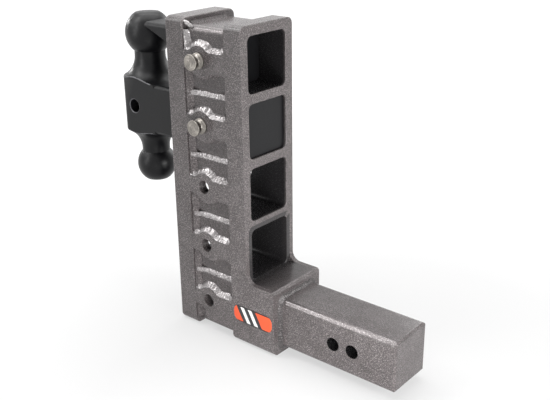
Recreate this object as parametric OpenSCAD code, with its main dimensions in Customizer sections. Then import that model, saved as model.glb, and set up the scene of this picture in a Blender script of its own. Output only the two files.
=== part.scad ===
// Adjustable stacked-receiver trailer hitch with a two-ball mount and a pintle lock.
// Frame: origin at the centre of the shank's outer pin hole, +X towards the vehicle,
// Y along the pins, +Z up. Millimetres.

/* [Square bars] */
// Side of the square bars: the shank, the ball mount and the pintle lock
bar_w = 63.5; // [50:0.1:77]
// Clearance all round a bar in its receiver
bar_gap = 0.55; // [0.3:0.05:1.2]
// Radius along the edges of the ball mount and the pintle lock
bar_edge_r = 6; // [2:0.5:8]

/* [Shank] */
// From the outer pin hole to the shank's free end
shank_tip = 57.5; // [30:0.5:90]
// From the outer pin hole to the end face of the foot
shank_reach = 103.3; // [70:0.1:200]
// Distance between the shank's two pin holes
shank_hole_gap = 26.2; // [20:0.1:40]
// Radius along the shank's long edges
shank_edge_r = 6; // [1:0.5:8]
// Bevel round the shank's free end
shank_bevel = 3; // [1:0.5:6]

/* [Receivers] */
// Wall of the receiver tubes
tube_wall = 5.8; // [4:0.1:10]
// Outer corner radius of the tubes
tube_r = 8; // [6:0.1:12]
// From the rear faces to the pin axis
pin_back = 64.7; // [55:0.1:80]
// From the pin axis to the mouths on the ball side
pin_front = 51.1; // [45:0.1:70]

/* [Collar and side plates] */
// Depth of the collar round the mouths
collar_t = 27.5; // [15:0.1:30]
// How far the collar stands above the tubes
collar_rise = 8; // [4:0.1:12]
// Thickness of the two comb-shaped side plates
plate_t = 6.35; // [4:0.05:10]
// Depth of the upright bar of the side plates
bar_t = 24.5; // [15:0.1:35]
// How far the bar stands above the top tube
bar_rise = 6.35; // [3:0.05:12]
// How far the foot reaches past the rear faces
foot_len = 41.8; // [25:0.1:70]
// How far the foot and the collar stand below the lowest tube
foot_t = 3.2; // [2:0.1:12]
// Half height of a finger of the comb
finger_h = 10; // [6:0.5:13]
// From the underside of the lowest tube up to the lower edge of the lowest finger
low_rise = 11.1; // [5:0.1:20]
// How far the lowest finger's deep part reaches past its pin axis to the ball side
low_reach = 7; // [2:0.5:12]
// Metal left round each pin hole in the round lobes
lobe_wall = 8.4; // [5:0.1:11]
// Radius where a finger runs into its lobe
lobe_fillet = 8; // [3:0.5:12]
// Radius where a finger runs into the upright bar
pocket_r = 7; // [3:0.5:9]
// Radius between the upright bar and the foot
foot_fillet = 12; // [5:0.5:20]
// Radius along the top edge of the foot's end
foot_edge_r = 4; // [1:0.5:5]
// Radius of the outer corners of the collar, bar and foot
corner_r = 8; // [4:0.5:10]

/* [Welds] */
// Leg of the fillet weld round the shank, on the foot's end face
shank_weld_leg = 7; // [4:0.5:9]
// Leg of that weld along the shank
shank_weld_run = 5; // [3:0.5:9]
// How full that weld's face is: 0.5 is flat, more is rounded
weld_fullness = 0.58; // [0.5:0.01:0.7]
// Leg of the fillet welds along the fingers
finger_weld_leg = 5; // [2:0.25:6]
// Leg of the upright fillet welds behind the collar, on its back
collar_weld_leg = 5; // [3:0.25:7]
// Leg of those welds along the tubes
collar_weld_run = 8.5; // [3:0.25:12]
// Leg of the level fillet welds behind the collar, over and under the tubes
cap_weld_leg = 2.5; // [1.5:0.25:4]
// Depth of the groove left open between two tubes, from collar to bar
seam_depth = 4; // [1:0.1:5]

/* [Ball mount] */
// From the mouths out to the axis of the two balls
ball_reach = 78.7; // [70:0.1:140]
// Diameter of the upper ball
ball_up_d = 58.74; // [50:0.01:60]
// Diameter of the lower ball
ball_low_d = 50.8; // [44:0.01:58]
// From the top of the bar up to the centre of the upper ball
ball_up_rise = 56.65; // [48:0.05:64]
// From the underside of the bar down to the centre of the lower ball
ball_low_drop = 51.45; // [43:0.05:64]
// Diameter of the neck under the upper ball
neck_up_d = 39; // [30:0.5:44]
// Diameter of the neck over the lower ball
neck_low_d = 36; // [28:0.5:40]
// Radius of the flares that run the necks into the bar
flare_r = 29; // [15:0.5:30]
// How far the bar's outer end bulges past half its side
end_bulge = 3.65; // [1:0.05:9]
// Radius of the flat on each ball
ball_flat_r = 15.5; // [8:0.5:20]
// Diameter of the cross hole at the ball axis
cross_hole_d = 17; // [12:0.1:20]
// How far the bar's inner end stays behind the rear faces
tail_gap = 3.5; // [1:0.5:20]

/* [Pintle lock] */
// How far the lock's nose reaches out of the top mouth
nose_reach = 51; // [30:0.5:52]
// Thickness of the lip at the nose's tip
lip_t = 5; // [3:0.5:8]
// Depth of the lip before the underside slopes away
lip_len = 3; // [1:0.5:10]
// Thickness of the nose where it leaves the mouth
nose_root_t = 25; // [15:0.5:40]
// From the pin axis to the lock's inner end
lock_tail = 25; // [18:0.5:50]

/* [Pins and clips] */
// Diameter of the hitch pins
pin_d = 15.875; // [12:0.005:20]
// Clearance of a pin in its holes, across the diameter
pin_gap = 0.825; // [0.6:0.005:2]
// How far the two discs of a pin head stand out from the pin
head_lip = 1.7; // [1.5:0.1:7]
// Thickness of the disc against the side plate
head_inner_t = 3.5; // [2:0.1:6]
// Width of the groove between the discs
head_groove = 5; // [3:0.1:8]
// Thickness of the outer disc
head_outer_t = 4.5; // [3:0.1:8]
// Play of a pin along its axis before its clip meets the side plate
pin_play = 12.7; // [6:0.1:20]
// From the clip to the tip of the pin
pin_end = 9; // [6:0.5:15]
// Wire diameter of the clips
wire_d = 3.2; // [2.4:0.1:4]
// Clearance of the clip's wire in and beside the pin
wire_gap = 0.4; // [0.3:0.05:0.6]
// How far a clip's straight leg reaches past the pin's axis
clip_leg = 21; // [14:0.5:40]
// From the pin's axis to the centre of the clip's eye
clip_eye_reach = 36; // [32:0.5:60]
// Mean radius of the clip's eye
clip_eye_r = 6.2; // [4.5:0.1:9]

/* [Decal] */
// Margin of the decal to the ends of the foot's near side
decal_margin = 3.15; // [2:0.05:20]
// Height of the decal
decal_h = 22; // [20.5:0.5:30]
// Corner radius of the decal
decal_r = 9; // [1:0.1:10]

/* [Hidden] */
$fn = 96;
// Film thickness of the decal, and a small overlap for clean cuts
decal_t = 0.25;
eps = 1;
levels = 5;
levels_over_lock = 0;
levels_over_ball = 1;
lock_level = 1 + levels_over_lock;
ball_level = 1 + levels_over_ball;
// Heights of the levels, counted from the top
function level_z(i) = (levels - i) * tube_w;
bore_w = bar_w + 2 * bar_gap;
bore_r = bar_edge_r + bar_gap;
tube_w = bore_w + 2 * tube_wall;
stack_top = level_z(1) + tube_w / 2;
stack_bottom = -tube_w / 2;
side_y = tube_w / 2;
outer_y = side_y + plate_t;
foot_drop = tube_w / 2 + foot_t;
low_edge = tube_w / 2 - low_rise;
foot_rise = tube_w / 2 + tube_wall;
bar_top = stack_top + bar_rise;
// Stations along X
foot_x = -shank_reach;
rear_x = foot_x - foot_len;
bar_x = rear_x - bar_t;
pin_x = rear_x - pin_back;
mouth_x = pin_x - pin_front;
collar_x = mouth_x + collar_t;
ball_x = mouth_x - ball_reach;
tail_x = rear_x - tail_gap;
// Heights and radii of the ball mount about the middle of its bar
ball_up_z = bar_w / 2 + ball_up_rise;
ball_low_z = bar_w / 2 + ball_low_drop;
end_r = bar_w / 2 + end_bulge;
// The pins, their holes and the clips
hole_d = pin_d + pin_gap;
lobe_r = hole_d / 2 + lobe_wall;
head_d = pin_d + 2 * head_lip;
head_len = head_inner_t + head_groove + head_outer_t;
clip_y = outer_y + pin_play + wire_d / 2 + wire_gap;
tip_y = clip_y + pin_end;
wire_hole_d = wire_d + 2 * wire_gap;
clip_side = pin_d / 2 + wire_gap + wire_d / 2;
decal_w = foot_x - bar_x - 2 * decal_margin;
// Paint and metal colours
paint = [0.38, 0.36, 0.355];
weld_paint = [0.55, 0.53, 0.52];
satin_black = [0.16, 0.16, 0.17];
stainless = [0.76, 0.73, 0.68];
decal_orange = [0.85, 0.35, 0.18];

// Rectangle with round corners, centred
module round_rect(w, h, r) {
    square([w - 2 * r, h], center = true);
    square([w, h - 2 * r], center = true);
    for (sx = [-1, 1], sy = [-1, 1])
        translate([sx * (w / 2 - r), sy * (h / 2 - r)]) circle(r);
}

// Rectangle with round corners, centred across and from z0 to z1
module tall_rect(w, z0, z1, r) {
    translate([0, (z0 + z1) / 2]) round_rect(w, z1 - z0, r);
}

// Outline in Y and Z, extruded along X from x0 to x1
module along_x(x0, x1) {
    translate([x0, 0, 0]) rotate([90, 0, 90]) linear_extrude(x1 - x0) children();
}

// Outline in X and Z, extruded along Y from y0 to y1
module along_y(y0, y1) {
    translate([0, y1, 0]) rotate([90, 0, 0]) linear_extrude(y1 - y0) children();
}

// Round hole along Y
module hole_y(x, z, d, half) {
    translate([x, half + eps, z]) rotate([90, 0, 0]) cylinder(d = d, h = 2 * (half + eps));
}

// Outline of one tube, in Y and Z, at a level
module tube_outline(i) {
    translate([0, level_z(i)]) round_rect(tube_w, tube_w, tube_r);
}

// Mirror image across the middle plane for the far side
module far_side() {
    mirror([0, 1, 0]) children();
}

// One square receiver, drilled for its pin
module receiver_tube(i, x1) {
    color(paint) difference() {
        along_x(mouth_x, x1) difference() {
            tube_outline(i);
            translate([0, level_z(i)]) round_rect(bore_w, bore_w, bore_r);
        }
        hole_y(pin_x, level_z(i), hole_d, side_y);
    }
}

module receiver_tube_1() { receiver_tube(1, rear_x); }
module receiver_tube_2() { receiver_tube(2, rear_x); }
module receiver_tube_3() { receiver_tube(3, rear_x); }
module receiver_tube_4() { receiver_tube(4, rear_x); }
module receiver_tube_5() { receiver_tube(5, foot_x); }

// Band round all the mouths
module front_collar() {
    color(paint) along_x(mouth_x, collar_x) difference() {
        tall_rect(2 * outer_y, -foot_drop, stack_top + collar_rise, corner_r);
        tall_rect(tube_w, stack_bottom, stack_top, tube_r);
    }
}

// Fill between a lobe and the straight edge of its finger, for one side of the lobe
module lobe_blend() {
    reach = sqrt(pow(lobe_r + lobe_fillet, 2) - pow(finger_h + lobe_fillet, 2));
    share = lobe_r / (lobe_r + lobe_fillet);
    difference() {
        polygon([[0, 0], [reach, 0], [reach, finger_h], [reach * share, (finger_h + lobe_fillet) * share]]);
        translate([reach, finger_h + lobe_fillet]) circle(lobe_fillet);
    }
}

// One finger with its lobe, in X and Z about the pin axis, its edges moved out by grow
module finger_outline(grow = 0) {
    front = collar_x - pin_x;
    back = bar_x - pin_x;
    translate([front, -finger_h - grow]) square([back - front, 2 * (finger_h + grow)]);
    circle(lobe_r + grow);
    if (grow == 0)
        for (mx = [0, 1], mz = [0, 1])
            mirror([mx, 0]) mirror([0, mz]) lobe_blend();
}

// Fill in the two inner corners where a finger meets the upright bar
module pocket_corners() {
    back = bar_x - pin_x;
    for (mz = [0, 1]) mirror([0, mz]) difference() {
        translate([back - pocket_r, finger_h - eps]) square([pocket_r + eps, pocket_r + eps]);
        translate([back - pocket_r, finger_h + pocket_r]) circle(pocket_r);
    }
}

// Deeper part of the lowest finger, with a round corner beside the collar
module low_finger() {
    left = pin_x - low_reach;
    translate([left, corner_r - low_edge]) square([bar_x - left, low_edge - corner_r]);
    translate([left + corner_r, -low_edge]) square([bar_x - left - corner_r, low_edge]);
    translate([left + corner_r, corner_r - low_edge]) circle(corner_r);
}

// Comb-shaped plate: upright bar, five fingers and the foot's side
module plate_outline() {
    difference() {
        union() {
            translate([bar_x, -foot_drop + corner_r]) square([bar_t, bar_top + foot_drop - corner_r]);
            translate([bar_x + corner_r, -foot_drop])
                square([foot_x - bar_x - corner_r, foot_drop + foot_rise]);
            translate([bar_x + corner_r, -foot_drop + corner_r]) circle(corner_r);
            translate([rear_x - eps, foot_rise - eps]) square([foot_fillet + eps, foot_fillet + eps]);
            low_finger();
            for (i = [1 : levels]) translate([pin_x, level_z(i)]) {
                finger_outline();
                pocket_corners();
            }
        }
        translate([rear_x + foot_fillet, foot_rise + foot_fillet]) circle(foot_fillet);
        for (i = [1 : levels]) translate([pin_x, level_z(i)]) circle(d = hole_d);
        foot_edge();
    }
}

// What is cut away, in X and Z, to round the top edge of the foot's end
module foot_edge() {
    translate([foot_x - foot_edge_r, foot_rise - foot_edge_r]) difference() {
        square(foot_edge_r + eps);
        circle(foot_edge_r);
    }
}

// Round the plates' outer top and bottom corners, seen along X
module body_outline() {
    tall_rect(2 * outer_y, -foot_drop, bar_top, corner_r);
}

module side_plate_far() {
    color(paint) intersection() {
        along_y(side_y, outer_y) plate_outline();
        along_x(collar_x, foot_x) body_outline();
    }
}

module side_plate_near() { far_side() side_plate_far(); }

// Bar that closes the top between the side plates
module rear_top_bar() {
    color(paint) along_x(bar_x, rear_x) difference() {
        intersection() {
            translate([-side_y, stack_top - tube_r]) square([tube_w, tube_r + bar_rise]);
            body_outline();
        }
        tube_outline(1);
    }
}

// Plate over the lowest tube in the foot, level with the floor of the receiver above
module foot_top_plate() {
    color(paint) difference() {
        along_x(rear_x, foot_x) difference() {
            translate([-side_y, tube_w / 2 - tube_r]) square([tube_w, tube_r + tube_wall]);
            tube_outline(levels);
        }
        along_y(-outer_y, outer_y) foot_edge();
    }
}

// Plate under the lowest tube in the foot
module foot_bottom_plate() {
    color(paint) along_x(bar_x, foot_x) difference() {
        intersection() {
            translate([-side_y, -foot_drop]) square([tube_w, foot_drop - tube_w / 2 + tube_r]);
            body_outline();
        }
        tube_outline(levels);
    }
}

// Solid shank with two pin holes and a bevelled end
module shank() {
    color(paint) difference() {
        intersection() {
            along_x(rear_x, shank_tip) round_rect(bar_w, bar_w, shank_edge_r);
            along_y(-bar_w, bar_w) bevelled_end(bar_w / 2);
            rotate([90, 0, 0]) along_y(-bar_w, bar_w) bevelled_end(bar_w / 2);
        }
        for (x = [0, -shank_hole_gap]) hole_y(x, 0, hole_d, bar_w / 2);
    }
}

// Side view of the shank with the bevel at its free end
module bevelled_end(half) {
    polygon([
        [rear_x, -half], [shank_tip - shank_bevel, -half], [shank_tip, shank_bevel - half],
        [shank_tip, half - shank_bevel], [shank_tip - shank_bevel, half], [rear_x, half]
    ]);
}

// Cross-section of the fillet round the shank: out along the foot's face, along the shank
module shank_weld_section() {
    crown = weld_fullness * [shank_weld_run, shank_weld_leg];
    polygon([[0, 0], [0, shank_weld_leg], crown, [shank_weld_run, 0]]);
}

module shank_weld() {
    flat = bar_w / 2 - shank_edge_r;
    color(weld_paint) translate([foot_x, 0, 0]) for (q = [0 : 3]) rotate([90 * q, 0, 0]) {
        translate([0, flat, 0]) rotate([90, 0, 0]) linear_extrude(2 * flat)
            translate([0, bar_w / 2]) shank_weld_section();
        translate([0, flat, flat]) rotate([0, 90, 0]) rotate([0, 0, 90]) rotate_extrude(angle = 90)
            translate([shank_edge_r, 0]) mirror([1, -1]) shank_weld_section();
    }
}

// Section of the filler in the groove between two tubes, down to a depth below their sides
module seam_section(seam_z, depth) {
    difference() {
        translate([side_y - tube_r, seam_z - tube_r]) square([tube_r - depth, 2 * tube_r]);
        for (s = [-1, 1]) translate([side_y - tube_r, seam_z + s * tube_r]) circle(tube_r);
    }
}

// Filler between two tubes, flush under the collar and the bar and sunk between them
module seam_welds_far() {
    color(weld_paint) for (i = [1 : levels - 1]) {
        seam_z = level_z(i) - tube_w / 2;
        along_x(mouth_x, rear_x) seam_section(seam_z, seam_depth);
        along_x(mouth_x, collar_x) seam_section(seam_z, 0);
        along_x(bar_x, rear_x) seam_section(seam_z, 0);
    }
}

module seam_welds_near() { far_side() seam_welds_far(); }

// Fillet welds along both edges of every finger, in two steps
module finger_welds_far() {
    step = finger_weld_leg / 2;
    color(weld_paint) for (i = [1 : levels], k = [0, 1])
        along_y(side_y + k * step, side_y + (k + 1) * step) difference() {
            translate([pin_x, level_z(i)]) finger_outline(finger_weld_leg - k * step);
            plate_outline();
            translate([pin_x, level_z(i)]) circle(lobe_r);
        }
}

module finger_welds_near() { far_side() finger_welds_far(); }

// Upright fillets between the collar's back and the tube walls, from finger to finger
module collar_welds_far() {
    reach = finger_h + finger_weld_leg;
    color(weld_paint) difference() {
        for (i = [0 : levels]) {
            z1 = i == 0 ? stack_top - tube_r : level_z(i) - reach;
            z0 = i == levels ? stack_bottom + tube_r : level_z(i + 1) + reach;
            translate([collar_x, side_y, z0]) linear_extrude(z1 - z0)
                polygon([[0, 0], [collar_weld_run, 0], [0, collar_weld_leg]]);
        }
        along_y(side_y - eps, outer_y) for (i = [1 : levels])
            translate([pin_x, level_z(i)]) finger_outline(finger_weld_leg);
        along_y(side_y - eps, outer_y) low_finger();
    }
}

module collar_welds_near() { far_side() collar_welds_far(); }

// Level fillet between the collar's back and the tubes, no higher than the collar's edge
module collar_weld(edge) {
    half = side_y - tube_r;
    leg = min(cap_weld_leg, edge);
    color(weld_paint) translate([0, 0, stack_top]) along_y(-half, half)
        translate([collar_x, 0]) polygon([[0, 0], [leg, 0], [0, leg]]);
}

module collar_weld_top() { collar_weld(collar_rise); }

module collar_weld_bottom() {
    translate([0, 0, stack_top + stack_bottom]) mirror([0, 0, 1]) collar_weld(foot_drop + stack_bottom);
}

// Half of a turned ball stud: flare out of the bar, neck, ball with a flat
module stud_profile(ball_d, neck_d, centre) {
    top = bar_w / 2;
    neck_r = neck_d / 2;
    ball_r = ball_d / 2;
    foot_r = neck_r + flare_r;
    flat_z = centre + sqrt(ball_r * ball_r - ball_flat_r * ball_flat_r);
    difference() {
        square([foot_r, top + flare_r]);
        translate([foot_r, top + flare_r]) circle(flare_r);
    }
    square([neck_r, centre]);
    intersection() {
        translate([0, centre]) circle(ball_r);
        square([ball_r, flat_z]);
    }
}

module stud(ball_d, neck_d, centre) {
    rotate_extrude() stud_profile(ball_d, neck_d, centre);
}

// Bar, both studs and the cross hole, about the middle of the ball axis
module ball_mount() {
    span = tail_x - ball_x;
    color(satin_black) translate([ball_x, 0, level_z(ball_level)]) difference() {
        intersection() {
            union() {
                along_x(0, span) round_rect(bar_w, bar_w, bar_edge_r);
                along_x(-end_r, 0) round_rect(bar_w, bar_w, bar_edge_r);
                stud(ball_up_d, neck_up_d, ball_up_z);
                mirror([0, 0, 1]) stud(ball_low_d, neck_low_d, ball_low_z);
            }
            union() {
                translate([0, -bar_w / 2, -ball_low_z - ball_low_d])
                    cube([span, bar_w, ball_low_z + ball_low_d + ball_up_z + ball_up_d]);
                intersection() {
                    translate([0, 0, -ball_low_z - ball_low_d])
                        cylinder(r = end_r, h = ball_low_z + ball_low_d + ball_up_z + ball_up_d);
                    translate([-end_r, -bar_w / 2, -ball_low_z - ball_low_d])
                        cube([end_r, bar_w, ball_low_z + ball_low_d + ball_up_z + ball_up_d]);
                }
            }
        }
        hole_y(0, 0, cross_hole_d, bar_w / 2);
        hole_y(pin_x - ball_x, 0, hole_d, bar_w / 2);
    }
}

// Side view of the lock: straight tail, nose with a sloping underside and a thin lip
module lock_outline() {
    top = bar_w / 2;
    polygon([
        [mouth_x - nose_reach, top], [mouth_x - nose_reach, top - lip_t],
        [mouth_x - nose_reach + lip_len, top - lip_t], [mouth_x, top - nose_root_t],
        [mouth_x, -top], [pin_x + lock_tail, -top], [pin_x + lock_tail, top]
    ]);
}

module pintle_lock() {
    color(satin_black) translate([0, 0, level_z(lock_level)]) difference() {
        intersection() {
            along_x(mouth_x - nose_reach, pin_x + lock_tail) round_rect(bar_w, bar_w, bar_edge_r);
            along_y(-bar_w / 2, bar_w / 2) lock_outline();
        }
        hole_y(pin_x, 0, hole_d, bar_w / 2);
    }
}

// Pin with a spool-shaped head against the near plate and a cross hole for the clip
module hitch_pin(i) {
    edge = 0.8;
    r = head_d / 2;
    shaft_r = pin_d / 2;
    color(stainless) translate([pin_x, 0, level_z(i)]) difference() {
        translate([0, -outer_y, 0]) rotate([-90, 0, 0]) rotate_extrude() polygon([
            [0, -head_len], [r - edge, -head_len], [r, edge - head_len],
            [r, head_outer_t - head_len], [shaft_r, head_outer_t - head_len],
            [shaft_r, -head_inner_t], [r - edge, -head_inner_t], [r, edge - head_inner_t], [r, 0],
            [shaft_r, 0], [shaft_r, tip_y + outer_y - 2 * edge], [shaft_r - 2 * edge, tip_y + outer_y],
            [0, tip_y + outer_y]
        ]);
        translate([-pin_d, clip_y, 0]) rotate([0, 90, 0]) cylinder(d = wire_hole_d, h = 2 * pin_d);
    }
}

module hitch_pin_upper() { hitch_pin(lock_level); }
module hitch_pin_lower() { hitch_pin(ball_level); }

// Point on a cubic curve through four control points
function curve_at(c, t) =
    pow(1 - t, 3) * c[0] + 3 * t * pow(1 - t, 2) * c[1] + 3 * t * t * (1 - t) * c[2] + pow(t, 3) * c[3];

// Centre line of a clip about the pin's axis: straight leg, eye, bowed free leg, flared tip
function clip_path() =
    let (
        eye = [clip_eye_r, clip_eye_reach],
        leave = -60,
        start = eye + clip_eye_r * [cos(leave), sin(leave)],
        pull = 2 * clip_eye_r,
        bow = [clip_side, 0],
        bend = [start, start + pull * [sin(leave), -cos(leave)], bow + [0, pull], bow]
    )
    concat(
        [[0, -clip_leg]],
        [for (a = [180 : -10 : leave]) eye + clip_eye_r * [cos(a), sin(a)]],
        [for (k = [1 : 12]) curve_at(bend, k / 12)],
        [bow + [wire_d, -pin_d / 2]]
    );

// Direction of a path at its point k
function heading(path, k) =
    let (d = path[min(k + 1, len(path) - 1)] - path[max(k - 1, 0)]) d / norm(d);

// Round wire along a path in X and Z
module wire(path, sides = 12) {
    rings = len(path);
    points = [
        for (k = [0 : rings - 1], j = [0 : sides - 1])
            let (d = heading(path, k), a = 360 * j / sides, n = wire_d / 2 * cos(a))
                [path[k][0] - n * d[1], wire_d / 2 * sin(a), path[k][1] + n * d[0]]
    ];
    walls = [
        for (k = [0 : rings - 2], j = [0 : sides - 1], half = [0, 1])
            let (a = k * sides + j, b = k * sides + (j + 1) % sides)
                half == 0 ? [a, b, b + sides] : [a, b + sides, a + sides]
    ];
    caps = [
        [for (j = [sides - 1 : -1 : 0]) j],
        [for (j = [0 : sides - 1]) (rings - 1) * sides + j]
    ];
    polyhedron(points, concat(walls, caps), convexity = 4);
}

// Hairpin clip: its straight leg goes through the pin, its free leg bows over it,
// and its eye points to the ball side
module hairpin(i) {
    color(stainless) translate([pin_x, clip_y, level_z(i)]) rotate([0, -90, 0]) wire(clip_path());
}

module clip_upper() { hairpin(lock_level); }
module clip_lower() { hairpin(ball_level); }

// Plain decal on the near side of the foot
module decal() {
    color(decal_orange) along_y(-outer_y - decal_t, -outer_y)
        translate([(bar_x + foot_x) / 2, 0]) round_rect(decal_w, decal_h, decal_r);
}

front_collar();
receiver_tube_1();
receiver_tube_2();
receiver_tube_3();
receiver_tube_4();
receiver_tube_5();
side_plate_near();
side_plate_far();
rear_top_bar();
foot_top_plate();
foot_bottom_plate();
shank();
shank_weld();
seam_welds_near();
seam_welds_far();
finger_welds_near();
finger_welds_far();
collar_welds_near();
collar_welds_far();
collar_weld_top();
collar_weld_bottom();
ball_mount();
pintle_lock();
hitch_pin_upper();
hitch_pin_lower();
clip_upper();
clip_lower();
decal();
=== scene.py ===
"""Looks of a stacked-receiver trailer hitch with a two-ball mount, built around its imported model."""

import math

import bmesh
import bpy
import numpy as np
from mathutils import Matrix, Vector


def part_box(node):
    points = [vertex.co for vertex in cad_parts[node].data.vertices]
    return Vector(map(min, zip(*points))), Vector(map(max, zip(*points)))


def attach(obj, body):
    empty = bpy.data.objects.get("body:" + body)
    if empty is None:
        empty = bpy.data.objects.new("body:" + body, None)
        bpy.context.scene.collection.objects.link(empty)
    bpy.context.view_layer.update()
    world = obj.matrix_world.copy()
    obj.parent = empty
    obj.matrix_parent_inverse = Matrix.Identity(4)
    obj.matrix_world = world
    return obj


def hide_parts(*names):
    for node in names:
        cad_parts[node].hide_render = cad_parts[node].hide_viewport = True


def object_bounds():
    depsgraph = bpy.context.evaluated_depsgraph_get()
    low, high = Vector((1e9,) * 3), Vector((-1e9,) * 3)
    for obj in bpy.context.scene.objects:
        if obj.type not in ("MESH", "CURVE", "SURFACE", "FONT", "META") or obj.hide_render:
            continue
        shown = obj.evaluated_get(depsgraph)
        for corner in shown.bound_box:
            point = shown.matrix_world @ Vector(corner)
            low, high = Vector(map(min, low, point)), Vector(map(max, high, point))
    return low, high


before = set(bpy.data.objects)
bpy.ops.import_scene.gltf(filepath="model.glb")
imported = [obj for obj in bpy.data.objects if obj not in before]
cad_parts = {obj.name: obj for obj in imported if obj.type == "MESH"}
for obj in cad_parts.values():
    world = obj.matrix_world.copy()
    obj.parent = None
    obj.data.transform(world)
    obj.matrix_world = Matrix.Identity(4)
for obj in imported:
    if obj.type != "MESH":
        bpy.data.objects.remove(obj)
cad_low, cad_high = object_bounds()

# A millimetre in metres
MM = 0.001
# The photograph's frame and the camera that took it, in pixels, millimetres and degrees
IMAGE_WIDTH = 550
FOCAL_PIXELS = 833.04
CAMERA_AT = (454.6, -701.6, 504.2)
CAMERA_YAW = 130.10
CAMERA_PITCH = -21.636
CAMERA_ROLL = -0.716
SENSOR_WIDTH = 36.0

# Lengths from here on are in millimetres

RECEIVERS = 5
# Welds: the legs and runs of the fillets, the size and number of the waves in the shank's toe, and the
# open line beside the collar
FINGER_WELD_LEG = 7.0
COLLAR_WELD_RUN = 8.5
COLLAR_WELD_LEG = 5.2
SHANK_WELD_LEG = 5.5
SHANK_WELD_RUN = 4.0
SHANK_WELD_WAVE = 0.4
SHANK_WELD_WAVES = 13
COLLAR_SLOT = 0.9
# Seam beads: the toes below and above the seam, how far a bead stands off the collar's fillet, where it
# starts behind the collar, and how far it reaches into the upright bar
SEAM_TOE_BELOW = 5.0
SEAM_TOE_ABOVE = 1.6
SEAM_CLIMB = 0.5
SEAM_START = 3.0
SEAM_OVERLAP = 1.0
# Ripples of a bead: their pitch and their lag at the toes, in pitches, and the step of points along it
RIPPLE_PITCH = 3.6
RIPPLE_LAG = 0.55
WELD_STEP = 0.6
# How deep a weld's toe or root lies in the metal, and the gaps from a finger's weld to collar and bar
WELD_SINK = 0.3
SHALLOW_SINK = 0.2
PLATE_SINK = 0.5
ROOT_SINK = 0.4
COLLAR_GAP = 0.5
BAR_GAP = 1.2
TOE_GAP = 0.2
# Extra leg of a finger's weld beside the upright bar and beside the collar, and the length it fades over
BAR_FLARE = (2.0, 4.0)
COLLAR_FLARE = (2.5, 5.0)
# How far an upright fillet reaches into a finger's weld, and the first one up the tube's upper round
FINGER_OVERLAP = 4.5
ROUND_OVERLAP = 2.5
# Short run of weld at the collar's corner: its ends from the tube's near upper corner, and its radius,
# with the height and the number of its ripples
CORNER_BEAD_START = (-1.0, -2.2, 4.6)
CORNER_BEAD_END = (10.0, 1.2, -3.0)
CORNER_BEAD_RADIUS = 2.7
CORNER_BEAD_RIPPLE = 0.12
CORNER_BEAD_RIPPLES = 4
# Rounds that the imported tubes, shank and foot have
TUBE_RADIUS = 8.0
SHANK_EDGE_RADIUS = 6.0
FOOT_EDGE_RADIUS = 4.0
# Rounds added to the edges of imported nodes
PLATE_ROUND = 1.8
SHANK_END_ROUND = 0.8
TUBE_END_ROUND = 0.9
BLOCK_ROUND = 0.9
LOCK_ROUND = 1.2
# Comb plates: half height of a finger, and the radii of its lobe and fillets
FINGER_HALF = 10.0
LOBE_RADIUS = 16.75
LOBE_FILLET = 8.0
POCKET_RADIUS = 7.0
# Ball block: radius of its round end, half height of its plain middle, and how far from the balls' axis
# towards the bar its long edges and its cross hole's rim are rounded
BLOCK_END_RADIUS = 35.4
BLOCK_MIDDLE = 25.0
BLOCK_EDGE_REACH = 31.0
HOLE_RIM_REACH = 14.0
# Clips: wire, its clearance, eye and legs, and the step between rows of points
WIRE = 3.2
WIRE_GAP = 0.4
WIRE_STEP = 0.8
CLIP_LEG = 21.0
CLIP_EYE_REACH = 36.0
CLIP_EYE_RADIUS = 6.2
# Pins: shaft, rim of a head's disc, round on the front disc, neck between the discs, the power by which
# the groove leaves the neck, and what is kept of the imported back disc
PIN_DIAMETER = 15.875
HEAD_RIM = 1.8
HEAD_ROUND = 0.7
HEAD_NECK = 5.9
GROOVE_POWER = 2.6
HEAD_STUB = 1.0
# Decal: corner radius, and the soft rim of its film
DECAL_RADIUS = 9.0
DECAL_RIM = 0.06
# Joining of packed triangles: the distance below which points are one, and the turns in degrees below
# which faces are one and above which an edge is sharp
JOIN_DISTANCE = 0.02
FLAT_TURN = 0.4
SHARP_TURN = 35.0
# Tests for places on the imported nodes: slack at an edge and at a round, two depths in a tube's wall, the
# ends along X and the reach of the shank's pin holes, the reach of the shank's end, the least rise of the
# top bar's upper edges, and how far the lock's nose is clear of its receiver
EDGE_SLACK = 0.1
ROUND_SLACK = 0.5
TUBE_SKIN = 3.0
TUBE_INSIDE = 5.0
SHANK_HOLES_START = -40.0
SHANK_HOLES_END = 12.0
SHANK_HOLE_REACH = 9.0
SHANK_END_REACH = 5.0
TOP_BAR_RISE = 3.0
LOCK_CLEAR = 1.0
# How deep the coat goes into a receiver before the bore turns dark, bare mill scale and painted shade, and
# from and to where, off the receivers' rear end, it thins and darkens over the floor under the lowest
# opening and over the foot, as painted shadow of the tower
INSIDE_FADE = 4.0
FLOOR_FADE_START = -10.0
FLOOR_FADE_END = 50.0

# Dark, middle and light tones of the grey coat; of the same coat over weld metal, lightened as a painted
# highlight;
# where it is thin over rough weld metal, darkened as painted shade; where it is thin in the pockets
# between the fingers, darkened as painted shade; and where it thins over an edge, lightened as a painted
# highlight
COAT_COLOURS = ("353131", "5a5555", "8f8888")
BEAD_HIGHLIGHT_COLOURS = ("6a6666", "9b9797", "c6c3c3")
WELD_SHADE_COLOURS = ("2c2a2a", "494646", "7a7575")
POCKET_SHADE_COLOURS = ("292525", "474242", "736c6c")
EDGE_HIGHLIGHT_COLOURS = ("423e3e", "6c6767", "a09b9b")

draw = np.random.default_rng(41)


def span(name):
    """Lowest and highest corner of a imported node, in millimetres."""
    low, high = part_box(name)
    return np.array(low) / MM, np.array(high) / MM


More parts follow.
